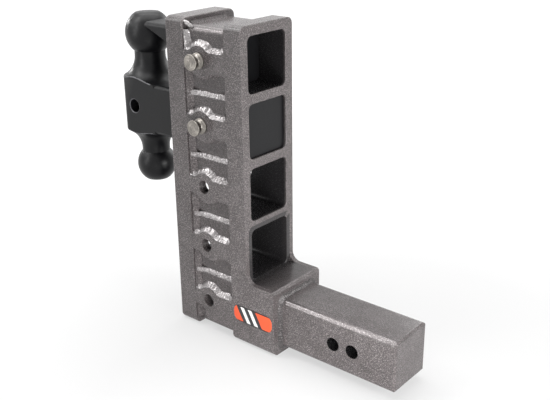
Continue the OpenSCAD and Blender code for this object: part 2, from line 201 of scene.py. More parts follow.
tube_low, tube_high = span("receiver_tube_1")
collar_high = span("front_collar")[1]
foot_high = span("foot_top_plate")[1]
shank_low, shank_high = span("shank")
pin_low, pin_high = span("hitch_pin_upper")
clip_low, clip_high = span("clip_upper")
mount_low, mount_high = span("ball_mount")
mouth_x, rear_x = tube_low[0], tube_high[0]
side_y = tube_high[1]
tube_width = 2 * side_y
stack_top = tube_high[2]
collar_x, outer_y = collar_high[0], collar_high[1]
bar_x = span("rear_top_bar")[0][0]
foot_x = foot_high[0]
pin_x = (pin_low[0] + pin_high[0]) / 2
clip_y = (clip_low[1] + clip_high[1]) / 2
head_cut = -outer_y - HEAD_STUB
block_x = mount_low[0] + BLOCK_END_RADIUS
levels = [stack_top - tube_width * (k + 0.5) for k in range(RECEIVERS)]
stack_bottom = levels[-1] - tube_width / 2


# Materials

def srgb(code):
    """A six-digit sRGB hex colour as linear red, green, blue and alpha."""
    channels = np.array([int(code[k:k + 2], 16) for k in (0, 2, 4)]) / 255
    linear = np.where(channels <= 0.04045, channels / 12.92, ((channels + 0.055) / 1.055) ** 2.4)
    return (*linear.tolist(), 1.0)


def fill(tree, node, inputs):
    """Set inputs of a node to constant values, or link them to other nodes' outputs."""
    for key, value in inputs.items():
        if isinstance(value, bpy.types.NodeSocket):
            tree.links.new(value, node.inputs[key])
        else:
            node.inputs[key].default_value = value


def add(tree, kind, inputs=None, stops=(), **settings):
    """Add one node with its settings and its inputs. The stops of a colour ramp are pairs of a place
    and a hex colour."""
    made = tree.nodes.new(kind)
    for key, value in settings.items():
        setattr(made, key, value)
    while stops and len(made.color_ramp.elements) < len(stops):
        made.color_ramp.elements.new(0.5)
    for k, (place, code) in enumerate(stops):
        made.color_ramp.elements[k].position = place
        made.color_ramp.elements[k].color = srgb(code)
    fill(tree, made, inputs or {})
    return made


def blank(name):
    """A new material, its node tree and its surface shader."""
    material = bpy.data.materials.new(name)
    material.use_nodes = True
    tree = material.node_tree
    return material, tree, tree.nodes["Principled BSDF"]


def vein_coat(name, dark, mid, light):
    """Silver-vein powder coat, baked on steel: a dark ground broken by fine silvery veins 1.0 mm
    apart, which sparkle where an edge or a bead turns to the light, with faint clouds 26 mm across.
    The noise is turned so that no face of the part lies along its grid, where it has no contrast."""
    material, tree, shader = blank(name)
    place = add(tree, "ShaderNodeTexCoord").outputs["Object"]
    turned = add(tree, "ShaderNodeMapping", {"Vector": place, "Rotation": (0.5, 0.4, 0.3)})
    veins = add(tree, "ShaderNodeTexNoise", {"Vector": turned.outputs["Vector"], "Scale": 1 / (1.0 * MM),
                                             "Detail": 2.0, "Roughness": 0.5})
    clouds = add(tree, "ShaderNodeTexNoise", {"Vector": place, "Scale": 1 / (26 * MM), "Detail": 2.0})
    tint = add(tree, "ShaderNodeValToRGB", {"Fac": veins.outputs["Fac"]},
               stops=[(0.34, dark), (0.50, mid), (0.66, light)])
    shade = add(tree, "ShaderNodeValToRGB", {"Fac": clouds.outputs["Fac"]},
                stops=[(0.3, "e6e4e4"), (0.7, "ffffff")])
    colour = add(tree, "ShaderNodeMix",
                 {"Factor": 1.0, "A": tint.outputs["Color"], "B": shade.outputs["Color"]},
                 data_type="RGBA", blend_type="MULTIPLY")
    return material, tree, shader, veins, colour.outputs["Result"]


def finish_coat(tree, shader, veins, colour, metal=0.0, depth=0.05):
    """Connect a vein coat's colour, and its skin as a bump of a depth in millimetres and as patches
    of gloss. metal is how much of the metal underneath shows through."""
    gloss = add(tree, "ShaderNodeMapRange",
                {"Value": veins.outputs["Fac"], "From Min": 0.3, "From Max": 0.7,
                 "To Min": 0.30, "To Max": 0.20})
    skin = add(tree, "ShaderNodeBump",
               {"Height": veins.outputs["Fac"], "Distance": depth * MM, "Strength": 0.8})
    fill(tree, shader, {"Base Color": colour, "Metallic": metal, "IOR": 1.5,
                        "Roughness": gloss.outputs["Result"], "Normal": skin.outputs["Normal"]})


def powder_coat(name, colours, metal=0.0, depth=0.05):
    """Vein coat as it lies on plates, tubes and shank, or over weld metal, where it runs thin and
    its skin is rougher."""
    material, tree, shader, veins, colour = vein_coat(name, *colours)
    finish_coat(tree, shader, veins, colour, metal, depth)
    return material


def receiver_coat(name, start, end):
    """Vein coat that goes over to a dark tone along X in millimetres, from a full coat at end to none at
    start:
    bare mill scale where the powder does not carry into a tube, and painted shade inside tubes and holes,
    and painted shadow of the tower on the foot."""
    material, tree, shader, veins, colour = vein_coat(name, *COAT_COLOURS)
    place = add(tree, "ShaderNodeTexCoord").outputs["Object"]
    axes = add(tree, "ShaderNodeSeparateXYZ", {"Vector": place})
    coated = add(tree, "ShaderNodeMapRange",
                 {"Value": axes.outputs["X"], "From Min": start * MM, "From Max": end * MM})
    bare = add(tree, "ShaderNodeMix",
               {"Factor": coated.outputs["Result"], "A": srgb("262526"), "B": colour}, data_type="RGBA")
    finish_coat(tree, shader, veins, bare.outputs["Result"])
    return material


def satin_black(name, dark, light, specular):
    """Black powder coat on forged and turned steel: near black with a broad soft gloss and a faint
    orange-peel skin about 3 mm across. Given greyer tones and more gloss, it is a painted highlight along
    edges."""
    material, tree, shader = blank(name)
    place = add(tree, "ShaderNodeTexCoord").outputs["Object"]
    peel = add(tree, "ShaderNodeTexNoise", {"Vector": place, "Scale": 1 / (3 * MM), "Detail": 2.0})
    dust = add(tree, "ShaderNodeTexNoise", {"Vector": place, "Scale": 1 / (1.1 * MM), "Detail": 1.0})
    tint = add(tree, "ShaderNodeValToRGB", {"Fac": dust.outputs["Fac"]},
               stops=[(0.35, dark), (0.65, light)])
    gloss = add(tree, "ShaderNodeMapRange",
                {"Value": peel.outputs["Fac"], "From Min": 0.3, "From Max": 0.7,
                 "To Min": 0.32, "To Max": 0.4})
    skin = add(tree, "ShaderNodeBump",
               {"Height": peel.outputs["Fac"], "Distance": 0.06 * MM, "Strength": 0.5})
    fill(tree, shader, {"Base Color": tint.outputs["Color"], "IOR": 1.5, "Specular IOR Level": specular,
                        "Roughness": gloss.outputs["Result"], "Normal": skin.outputs["Normal"]})
    return material


def turned_stainless(name, height):
    """Stainless bar turned in a lathe: a warm pale metal with fine rings round its axis, drawn
    0.6 mm apart so that they show. height is the axis above the frame's origin, in millimetres."""
    material, tree, shader = blank(name)
    place = add(tree, "ShaderNodeTexCoord").outputs["Object"]
    centred = add(tree, "ShaderNodeMapping",
                  {"Vector": place, "Location": (-pin_x * MM, 0.0, -height * MM)})
    rings = add(tree, "ShaderNodeTexWave", {"Vector": centred.outputs["Vector"], "Scale": 1 / (12 * MM),
                                            "Distortion": 0.6, "Detail": 1.0},
                wave_type="RINGS", rings_direction="Y")
    smear = add(tree, "ShaderNodeTexNoise", {"Vector": place, "Scale": 1 / (5 * MM), "Detail": 3.0})
    tint = add(tree, "ShaderNodeValToRGB", {"Fac": smear.outputs["Fac"]},
               stops=[(0.3, "77736e"), (0.7, "928d87")])
    gloss = add(tree, "ShaderNodeMapRange",
                {"Value": rings.outputs["Fac"], "To Min": 0.26, "To Max": 0.36})
    skin = add(tree, "ShaderNodeBump",
               {"Height": rings.outputs["Fac"], "Distance": 0.03 * MM, "Strength": 0.6})
    around = add(tree, "ShaderNodeTangent", direction_type="RADIAL", axis="Y")
    fill(tree, shader, {"Base Color": tint.outputs["Color"], "Metallic": 1.0, "Anisotropic": 0.8,
                        "Tangent": around.outputs["Tangent"], "Roughness": gloss.outputs["Result"],
                        "Normal": skin.outputs["Normal"]})
    return material


def drawn_wire():
    """Drawn stainless spring wire: bright, with faint marks along it about 2 mm apart."""
    material, tree, shader = blank("drawn_spring_wire")
    place = add(tree, "ShaderNodeTexCoord").outputs["Object"]
    marks = add(tree, "ShaderNodeTexNoise", {"Vector": place, "Scale": 1 / (2 * MM), "Detail": 3.0})
    tint = add(tree, "ShaderNodeValToRGB", {"Fac": marks.outputs["Fac"]},
               stops=[(0.3, "a8a7a6"), (0.7, "d0cfcc")])
    gloss = add(tree, "ShaderNodeMapRange", {"Value": marks.outputs["Fac"], "To Min": 0.2, "To Max": 0.36})
    fill(tree, shader, {"Base Color": tint.outputs["Color"], "Metallic": 1.0,
                        "Roughness": gloss.outputs["Result"]})
    return material


def printed_film():
    """Printed vinyl film with a soft gloss: orange ends and, in the middle, a charcoal field with two
    white bars, all leaning alike, between charcoal borders along both long edges."""
    material, tree, shader = blank("printed_vinyl_film")
    place = add(tree, "ShaderNodeTexCoord").outputs
    axes = add(tree, "ShaderNodeSeparateXYZ", {"Vector": place["UV"]})
    grit = add(tree, "ShaderNodeTexNoise", {"Vector": place["Object"], "Scale": 1 / (0.8 * MM)})
    lean = add(tree, "ShaderNodeMath", {0: axes.outputs["Y"], 1: 0.2, 2: axes.outputs["X"]},
               operation="MULTIPLY_ADD")
    field = add(tree, "ShaderNodeValToRGB", {"Fac": lean.outputs["Value"]}, stops=[
        (0.0, "ea5a33"), (0.26, "2b2a2c"), (0.36, "f2f0ee"), (0.46, "2b2a2c"), (0.56, "f2f0ee"),
        (0.66, "2b2a2c"), (0.76, "ea5a33")])
    edge = add(tree, "ShaderNodeValToRGB", {"Fac": axes.outputs["Y"]},
               stops=[(0.0, "2b2a2c"), (0.07, "ffffff"), (0.93, "2b2a2c")])
    for printed in (field, edge):
        printed.color_ramp.interpolation = "CONSTANT"
    inked = add(tree, "ShaderNodeMix",
                {"Factor": 1.0, "A": field.outputs["Color"], "B": edge.outputs["Color"]},
                data_type="RGBA", blend_type="MULTIPLY")
    gloss = add(tree, "ShaderNodeMapRange", {"Value": grit.outputs["Fac"], "To Min": 0.3, "To Max": 0.42})
    fill(tree, shader, {"Base Color": inked.outputs["Result"], "IOR": 1.5,
                        "Roughness": gloss.outputs["Result"]})
    return material


coat = powder_coat("silver_vein_powder_coat", COAT_COLOURS, depth=0.06)
# Weld beads in lighter tones: a painted highlight
bead_highlight_coat = powder_coat("powder_coat_over_weld_painted_highlight", BEAD_HIGHLIGHT_COLOURS, metal=0.5, depth=0.1)
rough_coat = powder_coat("powder_coat_over_rough_weld", COAT_COLOURS, metal=0.3, depth=0.5)
# Darker tones over the shank's weld: painted shade of its groove
weld_shade_coat = powder_coat("powder_coat_over_weld_painted_shade", WELD_SHADE_COLOURS, metal=0.2, depth=0.4)
# Darker tones in the pockets between the fingers: a thinner coat, and painted shade of the recesses
pocket_shade_coat = powder_coat("powder_coat_thin_in_pockets_painted_shade", POCKET_SHADE_COLOURS, depth=0.06)
# Lighter, more metallic tones over edges: a thinner coat, and a painted highlight
edge_highlight_coat = powder_coat("powder_coat_thin_over_edges_painted_highlight", EDGE_HIGHLIGHT_COLOURS, metal=0.4, depth=0.06)
# Inside the receivers the coat ends in a dark tone: bare mill scale, and painted shade inside the tubes
inside_shade_coat = receiver_coat("powder_coat_ending_at_mill_scale_painted_shade", rear_x - INSIDE_FADE, rear_x)
# Over the floor under the lowest opening and on the foot it darkens: a thinner coat, and painted shadow of
# the tower
floor_shadow_coat = receiver_coat("powder_coat_thinning_to_mill_scale_painted_shadow",
                           rear_x + FLOOR_FADE_START, rear_x + FLOOR_FADE_END)
# All of the shank lies where this coat has ended, so the walls of its pin holes are dark all through:
# painted shade
hole_shade_coat = receiver_coat("painted_shade_in_holes", shank_high[0], shank_high[0] + 1)
black = satin_black("satin_black_powder_coat", "0b0b0d", "131315", 0.24)
# Greyer, glossier black over edges: a painted highlight
black_edge_highlight = satin_black("black_powder_coat_over_edges_painted_highlight", "505054", "6a6a6e", 0.6)
wire_steel = drawn_wire()
film = printed_film()


# Surfaces

def new_piece(name, points, faces, finish, slot, body="tower", nodes=()):
    """Put points in millimetres and their faces into a mesh that rides on a body."""
    mesh = bpy.data.meshes.new(name)
    mesh.from_pydata(np.asarray(points) * MM, [], faces)
    mesh.materials.append(finish)
    mesh.shade_smooth()
    piece = bpy.data.objects.new(name, mesh)
    bpy.context.scene.collection.objects.link(piece)
    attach(piece, body)
    if nodes:
        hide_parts(*nodes)
    return piece


def rows_of(items, key, width, kind=float):
    """One property of all the points, edges, corners or faces of a mesh, as rows of width values."""
    values = np.empty(len(items) * width, dtype=kind)
    items.foreach_get(key, values)
    return values.reshape(-1, width)


def grid_faces(rows, columns, along):
    """Quads of a grid of points, row by row, closed around the columns, and along the rows if asked."""
    last_row = rows if along else rows - 1
    r, c = np.meshgrid(np.arange(last_row), np.arange(columns), indexing="ij")
    r2, c2 = (r + 1) % rows, (c + 1) % columns
    quads = np.stack([r * columns + c, r * columns + c2, r2 * columns + c2, r2 * columns + c], axis=-1)
    return quads.reshape(-1, 4).tolist()


def tube_surface(rings, closed=False):
    """Points and faces of a tube through rings of points: a grid of rings by points of a ring,
    with a flat cap on each end unless the tube closes on itself."""
    rows, columns = rings.shape[:2]
    faces = grid_faces(rows, columns, along=closed)
    if not closed:
        faces.append(list(range(columns - 1, -1, -1)))
        faces.append(list(range((rows - 1) * columns, rows * columns)))
    return rings.reshape(-1, 3), faces


def join(parts):
    """Several (points, faces) shapes as one list of points and one list of faces."""
    points, faces, start = [], [], 0
    for part_points, part_faces in parts:
        points.append(part_points)
        faces.extend([[k + start for k in face] for face in part_faces])
        start += len(part_points)
    return np.concatenate(points), faces


def flipped(shape):
    """A shape with every face turned to point the other way."""
    points, faces = shape
    return points, [face[::-1] for face in faces]


def to_far_side(shape):
    """A shape mirrored across the middle plane, its faces turned so that they still point outwards."""
    points, faces = flipped(shape)
    return points * (1, -1, 1), faces


def spaced(points, gap):
    """A line of points walked again in equal steps of about gap millimetres."""
    lengths = np.linalg.norm(np.diff(points, axis=0), axis=1)
    walked = np.concatenate([[0], np.cumsum(lengths)])
    stations = np.linspace(0, walked[-1], max(4, int(walked[-1] / gap) + 1))
    return np.stack([np.interp(stations, walked, points[:, k]) for k in range(3)], axis=1)


def waver(count, reach, size):
    """A smooth random line of count values: white noise averaged over reach values, times size."""
    rough = draw.normal(size=count + 2 * reach)
    window = np.hanning(2 * reach + 1)
    smooth = np.convolve(rough, window / np.sqrt((window ** 2).sum()), mode="valid")
    return size * smooth[:count]


def weld(first_toe, second_toe, root, outward, bulge, ripple, closed=False):
    """Fillet weld between two toe lines: straight from toe to toe across, plus a bulge outward by
    half a sine, plus crescent ripples along it that lag towards the toes. It is closed at the back
    through the root line. All lines are rows of points, and outward is a row of unit directions."""
    count = len(first_toe)
    t = np.linspace(0, 1, 11)[None, :, None]
    lengths = np.linalg.norm(np.diff(first_toe, axis=0), axis=1)
    walked = np.concatenate([[0], np.cumsum(lengths)])
    pitch = walked[-1] / max(1, round(walked[-1] / RIPPLE_PITCH))
    phase = walked[:, None, None] / pitch + RIPPLE_LAG * (2 * t - 1) ** 2
    crown = np.sin(np.pi * t)
    if not closed:
        phase = phase + waver(count, reach=8, size=0.2)[:, None, None]
    shape = bulge * crown + ripple * np.sqrt(crown) * np.cos(2 * np.pi * phase)
    if not closed:
        shape = shape + crown * waver(count, reach=5, size=0.25)[:, None, None]
    face = (1 - t) * first_toe[:, None] + t * second_toe[:, None] + shape * outward[:, None]
    rings = np.concatenate([face, root[:, None]], axis=1)
    return tube_surface(rings, closed)


def finger_edge(dx):
    """Height of a finger's edge above its pin axis at dx from the axis: the lobe's circle, the
    fillet that leaves it, the straight edge, and the fillet into the upright bar."""
    reach = math.sqrt((LOBE_RADIUS + LOBE_FILLET) ** 2 - (FINGER_HALF + LOBE_FILLET) ** 2)
    touch = reach * LOBE_RADIUS / (LOBE_RADIUS + LOBE_FILLET)
    away = np.abs(dx)
    lobe = np.sqrt(np.maximum(LOBE_RADIUS ** 2 - dx ** 2, 0))
    blend = FINGER_HALF + LOBE_FILLET - np.sqrt(np.maximum(LOBE_FILLET ** 2 - (reach - away) ** 2, 0))
    turn = np.maximum(dx - (bar_x - pin_x - POCKET_RADIUS), 0)
    pocket = FINGER_HALF + POCKET_RADIUS - np.sqrt(np.maximum(POCKET_RADIUS ** 2 - turn ** 2, 0))
    return np.where(away < touch, lobe, np.where(away < reach, blend, np.maximum(FINGER_HALF, pocket)))


def flare(distance, extra, fade):
    """Extra leg of a weld at a distance from its end: a bell curve that fades over a length."""
    return extra * np.exp(-(distance / fade) ** 2)


def finger_weld(level, up):
    """Weld along one edge of one near finger: its toes are the plate's edge and a line on the tube
    that leaves that edge squarely by the weld's leg, which flares out at both ends."""
    dx = np.linspace(collar_x - pin_x + COLLAR_GAP, bar_x - pin_x - BAR_GAP, 400)
    plate_y = np.full_like(dx, -outer_y + PLATE_SINK)
    edge = spaced(np.stack([pin_x + dx, plate_y, level + up * finger_edge(dx)], axis=1), WELD_STEP)
    along = np.gradient(edge, axis=0)
    along /= np.linalg.norm(along, axis=1)[:, None]
    away = np.stack([-along[:, 2], np.zeros(len(edge)), along[:, 0]], axis=1) * up
    flares = flare(bar_x - edge[:, 0], *BAR_FLARE) + flare(edge[:, 0] - collar_x, *COLLAR_FLARE)
    leg = FINGER_WELD_LEG + flares + waver(len(edge), reach=9, size=0.35)
    toe = edge + leg[:, None] * away
    toe[:, 1] = -side_y + WELD_SINK
    toe[:, 0] = np.clip(toe[:, 0], collar_x + TOE_GAP, bar_x - TOE_GAP)
    root = edge - ROOT_SINK * away
    root[:, 1] = -side_y + WELD_SINK
    outward = away * 0.7 + np.array([0, -0.7, 0])
    shape = weld(edge, toe, root, outward, bulge=0.85, ripple=0.22)
    return shape if up < 0 else flipped(shape)


def finger_welds(side, mirrored):
    """All the welds along the fingers of one side: bright over the fingers in the beads' lighter coat, a
    painted highlight, and dull under them in the plain coat, so that they are lit and shaded copies of one
    weld.
    """
    for name, up, heights, finish in (("upper_finger_beads", 1, levels, bead_highlight_coat),
                                      ("lower_finger_beads", -1, levels[:-1], coat)):
        shape = join([finger_weld(level, up) for level in heights])
        new_piece(f"{name}_{side}", *(to_far_side(shape) if mirrored else shape),
                  finish, "weld_bead", nodes=[f"finger_welds_{side}"])


def corner_bead():
    """Short run of weld from the collar's round corner down on to the tube's near edge: circles
    along a straight line, which thin out towards both ends by the root of a sine."""
    corner = np.array([collar_x, -side_y, stack_top])
    start = corner + CORNER_BEAD_START
    end = corner + CORNER_BEAD_END
    s = np.linspace(0, 1, 26)
    turn = np.linspace(0, 2 * math.pi, 24, endpoint=False)
    ahead = (end - start) / np.linalg.norm(end - start)
    sideways = np.cross(ahead, (0.0, 1.0, 0.0))
    sideways /= np.linalg.norm(sideways)
    upright = np.cross(ahead, sideways)
    radius = CORNER_BEAD_RADIUS * np.sqrt(np.sin(np.pi * s) + 0.02)
    radius += CORNER_BEAD_RIPPLE * np.cos(2 * np.pi * s * CORNER_BEAD_RIPPLES)
    circle = np.cos(turn)[:, None] * sideways + np.sin(turn)[:, None] * upright
    rings = start + s[:, None, None] * (end - start) + radius[:, None, None] * circle
    return tube_surface(rings)


def upright_bead(top, end, top_share=1.0, end_share=1.0, bulge=0.4):
    """Upright fillet behind the near side of the collar, from top to end: one toe stands off the
    tubes by the leg, a slot behind the collar, and the other lies on the tubes. The run between them
    along X goes evenly from one share of the full run to another."""
    z = np.linspace(top, end, max(8, int((top - end) / WELD_STEP)))
    count = len(z)
    back = np.full(count, collar_x + COLLAR_SLOT)
    sunk_y = np.full(count, -side_y + WELD_SINK)
    leg = COLLAR_WELD_LEG + waver(count, reach=6, size=0.15)
    run = COLLAR_WELD_RUN * np.linspace(top_share, end_share, count) + waver(count, reach=6, size=0.4)
    first = np.column_stack([back, -side_y - leg, z])
    second = np.column_stack([collar_x + run, sunk_y, z])
    root = np.column_stack([back, sunk_y, z])
    outward = np.tile([0.45, -0.89, 0.0], (count, 1))
    return flipped(weld(first, second, root, outward, bulge, ripple=0.2))


def collar_welds(side, mirrored):
    """Rough upright fillets behind the collar: one above the first finger, which starts narrow and has a
    short run of weld over it on the near side, bright in the beads' lighter coat as a painted highlight,
    and dull ones from finger to finger in the plain coat with a rougher skin."""
    reach = FINGER_HALF + FINGER_WELD_LEG - FINGER_OVERLAP
    first_top = stack_top - TUBE_RADIUS + ROUND_OVERLAP
    first = [upright_bead(first_top, levels[0] + reach, top_share=0.6, end_share=1.45, bulge=1.3)]
    if not mirrored:
        first.append(corner_bead())
    tops = [level - reach for level in levels]
    ends = [level + reach for level in levels[1:]] + [stack_bottom + TUBE_RADIUS]
    others = [upright_bead(top, end) for top, end in zip(tops, ends)]
    for name, shapes, finish in (("top_beads", first, bead_highlight_coat), ("collar_beads", others, rough_coat)):
        shape = join(shapes)
        new_piece(f"{name}_{side}", *(to_far_side(shape) if mirrored else shape),
                  finish, "weld_bead", nodes=[f"collar_welds_{side}"])


def shoulder(rise, up):
    """Place, in Y and Z from a seam, on the near round corner of the tube above or below it, at a
    rise away from the seam: on a circle of the tube's radius."""
    drop = TUBE_RADIUS - rise
    return -side_y + TUBE_RADIUS - np.sqrt(TUBE_RADIUS ** 2 - drop ** 2), up * rise


def seam_beads(side, mirrored):
    """Rippled bead along each groove between two tubes, lying on the lower tube's round shoulder and
    climbing over the upright fillet behind the collar, in the beads' lighter coat, a painted highlight."""
    shapes = []
    for level in levels[:-1]:
        seam = level - tube_width / 2
        x = np.linspace(collar_x + SEAM_START, bar_x + SEAM_OVERLAP, 110)
        count = len(x)
        fillet_y = -side_y - SEAM_CLIMB - COLLAR_WELD_LEG * (1 - (x - collar_x) / COLLAR_WELD_RUN)
        low_y, low_z = shoulder(SEAM_TOE_BELOW + waver(count, reach=6, size=0.25), up=-1)
        high_y, high_z = shoulder(SEAM_TOE_ABOVE + waver(count, reach=6, size=0.15), up=1)
        first = np.column_stack([x, np.minimum(low_y + SHALLOW_SINK, fillet_y), seam + low_z])
        second = np.column_stack([x, np.minimum(high_y + SHALLOW_SINK, fillet_y), seam + high_z])
        root = np.column_stack([x, np.full(count, -side_y + TUBE_RADIUS), np.full(count, seam)])
        outward = np.tile([0, -0.92, 0.39], (count, 1))
        shapes.append(weld(first, second, root, outward, bulge=0.5, ripple=0.25))
    shape = flipped(join(shapes))
    return new_piece(f"seam_beads_{side}", *(to_far_side(shape) if mirrored else shape),
                     bead_highlight_coat, "weld_bead")


def rounded_square(half, radius, gap):
    """A closed square path in Y and Z with round corners, and its outward directions, walked in
    steps of about gap millimetres. Each corner is a quarter circle about its own centre."""
    angles = np.linspace(0, math.pi / 2, 24)
    corners, directions = [], []
    for quarter in range(4):
        turn = angles + quarter * math.pi / 2
        middle_turn = turn[len(turn) // 2]
        centre = (half - radius) * np.sign([np.cos(middle_turn), np.sin(middle_turn)])
        directions.append(np.stack([np.cos(turn), np.sin(turn)], axis=1))
        corners.append(centre + radius * directions[-1])
    path = np.concatenate(corners + [corners[0][:1]])
    normal = np.concatenate(directions + [directions[0][:1]])
    walked = np.concatenate([[0], np.cumsum(np.linalg.norm(np.diff(path, axis=0), axis=1))])
    stations = np.linspace(0, walked[-1], int(walked[-1] / gap), endpoint=False)
    path = np.stack([np.interp(stations, walked, path[:, k]) for k in range(2)], axis=1)
    normal = np.stack([np.interp(stations, walked, normal[:, k]) for k in range(2)], axis=1)
    return path, normal / np.linalg.norm(normal, axis=1)[:, None]


def shank_bead():
    """Fillet all round the shank where it leaves the foot, closed on itself, in darker tones as painted
    shade. Its toe on the foot goes in and out by a sine."""
    half = (shank_high[1] - shank_low[1]) / 2
    path, normal = rounded_square(half - WELD_SINK, SHANK_EDGE_RADIUS, WELD_STEP)
    count = len(path)
    foot = np.full(count, foot_x - SHALLOW_SINK)
    turn = np.linspace(0, 2 * math.pi * SHANK_WELD_WAVES, count, endpoint=False)
    spread = SHANK_WELD_LEG + SHANK_WELD_WAVE * np.sin(turn)
    first = np.column_stack([foot, path + spread[:, None] * normal])
    second = np.column_stack([foot + SHANK_WELD_RUN, path])
    root = np.column_stack([foot, path])
    outward = np.column_stack([np.full(count, 0.8), 0.6 * normal])
    shape = flipped(weld(first, second, root, outward, bulge=0.2, ripple=0.35, closed=True))
    return new_piece("shank_bead", *shape, weld_shade_coat, "weld_bead", nodes=["shank_weld"])


def clip_wire(name, body, level, node):
    """Hairpin clip: a round wire carried along its centre line, which is a straight leg through the
    pin, an eye of about two thirds of a turn, a cubic curve back to the pin, and a flared tip. Both
    ends of the wire are rounded off over two steps."""
    turn = np.radians(np.linspace(180, -60, 60))
    eye = np.array([CLIP_EYE_RADIUS, CLIP_EYE_REACH])
    circle = eye + CLIP_EYE_RADIUS * np.stack([np.cos(turn), np.sin(turn)], axis=1)
    bow = np.array([PIN_DIAMETER / 2 + WIRE_GAP + WIRE / 2, 0.0])
    pull = 2 * CLIP_EYE_RADIUS
    leave = np.array([np.sin(turn[-1]), -np.cos(turn[-1])])
    control = [circle[-1], circle[-1] + pull * leave, bow + (0, pull), bow]
    t = np.linspace(0, 1, 30)[1:, None]
    weights = [(1 - t) ** 3, 3 * t * (1 - t) ** 2, 3 * t * t * (1 - t), t ** 3]
    curve = sum(w * p for w, p in zip(weights, control))
    tip = bow + np.array([WIRE, -PIN_DIAMETER / 2])
    flat = np.concatenate([[(0, -CLIP_LEG)], circle, curve, [tip]])
    flat = np.column_stack([flat, np.zeros(len(flat))])
    flat = spaced(flat, WIRE_STEP)[:, :2]
    heading = np.gradient(flat, axis=0)
    heading /= np.linalg.norm(heading, axis=1)[:, None]
    sideways = np.stack([-heading[:, 1], heading[:, 0]], axis=1)
    round_off = np.minimum(np.arange(len(flat)), np.arange(len(flat))[::-1]) / 2
    radius = WIRE / 2 * np.sqrt(1 - (1 - np.clip(round_off, 0.08, 1)) ** 2)
    angle = np.linspace(0, 2 * math.pi, 20, endpoint=False)
    across = radius[:, None] * np.cos(angle)
    rings = np.stack([
        pin_x - (flat[:, 1:2] + across * sideways[:, 1:2]),
        clip_y + radius[:, None] * np.sin(angle),
        level + flat[:, :1] + across * sideways[:, :1]], axis=-1)
    shape = flipped(tube_surface(rings))
    return new_piece(name, *shape, wire_steel, "stainless", body=body, nodes=[node])


def decal_film():
    """Thin film with round corners: a rounded rectangle shrunk towards its middle row by row."""
    low, high = span("decal")
    centre = (low + high) / 2
    half_x, half_z = (high[0] - low[0]) / 2, (high[2] - low[2]) / 2
    turn = np.linspace(0, 2 * math.pi, 121)[:-1]
    across, upward = np.cos(turn), np.sin(turn)
    corner = np.stack([np.sign(across) * (half_x - DECAL_RADIUS) + DECAL_RADIUS * across,
                       np.sign(upward) * (half_z - DECAL_RADIUS) + DECAL_RADIUS * upward], axis=1)
    shrink = np.array([1.0, 1.0, 0.985, 0.5, 0.001])
    depth = np.array([high[1], low[1] + DECAL_RIM, low[1], low[1], low[1]])
    ring = corner[None] * shrink[:, None, None]
    rings = np.stack([centre[0] + ring[..., 0], np.broadcast_to(depth[:, None], ring.shape[:2]),
                      centre[2] + ring[..., 1]], axis=-1)
    points, faces = tube_surface(rings)
    piece = new_piece("decal_print", points, faces, film, "decal_film", nodes=["decal"])
    corners = rows_of(piece.data.loops, "vertex_index", 1, int)[:, 0]
    flat = (points[corners][:, [0, 2]] - low[[0, 2]]) / (high - low)[[0, 2]]
    piece.data.uv_layers.new(name="print").data.foreach_set("uv", flat.ravel())
    return piece


def pin_head(place, level, finish):
    """Spool-shaped head of a pin, turned about its axis: a flat face, a quarter round, and two disc
    rims with a groove between them, whose radius leaves the neck's by a power of the way along."""
    rim = (pin_high[0] - pin_low[0]) / 2
    front, back = pin_low[1], head_cut
    turn = np.linspace(0, math.pi / 2, 6)
    way = np.linspace(-1, 1, 33)
    first, last = front + HEAD_RIM, -outer_y - HEAD_RIM
    along = np.concatenate([[front], front + HEAD_ROUND * (1 - np.cos(turn)),
                            (first + last + way * (last - first)) / 2, [back]])
    radius = np.concatenate([[rim - 2 * HEAD_ROUND], rim - HEAD_ROUND * (1 - np.sin(turn)),
                             HEAD_NECK + (rim - HEAD_NECK) * np.abs(way) ** GROOVE_POWER, [rim]])
    angle = np.linspace(0, 2 * math.pi, 72, endpoint=False)
    rings = np.stack([pin_x + radius[:, None] * np.cos(angle),
                      np.repeat(along[:, None], len(angle), axis=1),
                      level + radius[:, None] * np.sin(angle)], axis=-1)
    new_piece(f"pin_head_{place}", *flipped(tube_surface(rings)), finish, "stainless",
              body=f"{place}_pin", nodes=[f"hitch_pin_{place}"])


def joined(name, finish, slot, body="tower", cut_y=None):
    """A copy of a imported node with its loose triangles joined: points that nearly meet become one,
    flat neighbours become one face, and only edges that turn sharply stay sharp. What lies below
    cut_y along Y, if that is given, is cut off and closed."""
    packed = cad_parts[name].data
    points = rows_of(packed.vertices, "co", 3) / MM
    faces = rows_of(packed.loops, "vertex_index", 1, int).reshape(-1, 3).tolist()
    piece = new_piece(f"{name}_eased", points, faces, finish, slot, body, [name])
    work = bmesh.new()
    work.from_mesh(piece.data)
    bmesh.ops.remove_doubles(work, verts=work.verts, dist=JOIN_DISTANCE * MM)
    if cut_y is not None:
        bmesh.ops.bisect_plane(work, geom=[*work.verts, *work.edges, *work.faces],
                               plane_co=(0, cut_y * MM, 0), plane_no=(0, -1, 0), clear_outer=True)
        bmesh.ops.holes_fill(work, edges=[edge for edge in work.edges if edge.is_boundary])
    bmesh.ops.dissolve_limit(work, angle_limit=math.radians(FLAT_TURN),
                             verts=work.verts, edges=work.edges)
    work.to_mesh(piece.data)
    work.free()
    piece.data.shade_smooth()
    piece.data.set_sharp_from_angle(angle=math.radians(SHARP_TURN))
    return piece


def patch(piece, patches):
    """Other finishes on some faces of a piece. Each patch is a finish and a test, which takes the
    middles of the faces in millimetres, and a later patch wins."""
    mesh = piece.data
    middles = rows_of(mesh.polygons, "center", 3) / MM
    index = np.zeros(len(mesh.polygons), dtype=np.int32)
    for finish, test in patches:
        mesh.materials.append(finish)
        index[test(*middles.T)] = len(mesh.materials) - 1
    mesh.polygons.foreach_set("material_index", index)


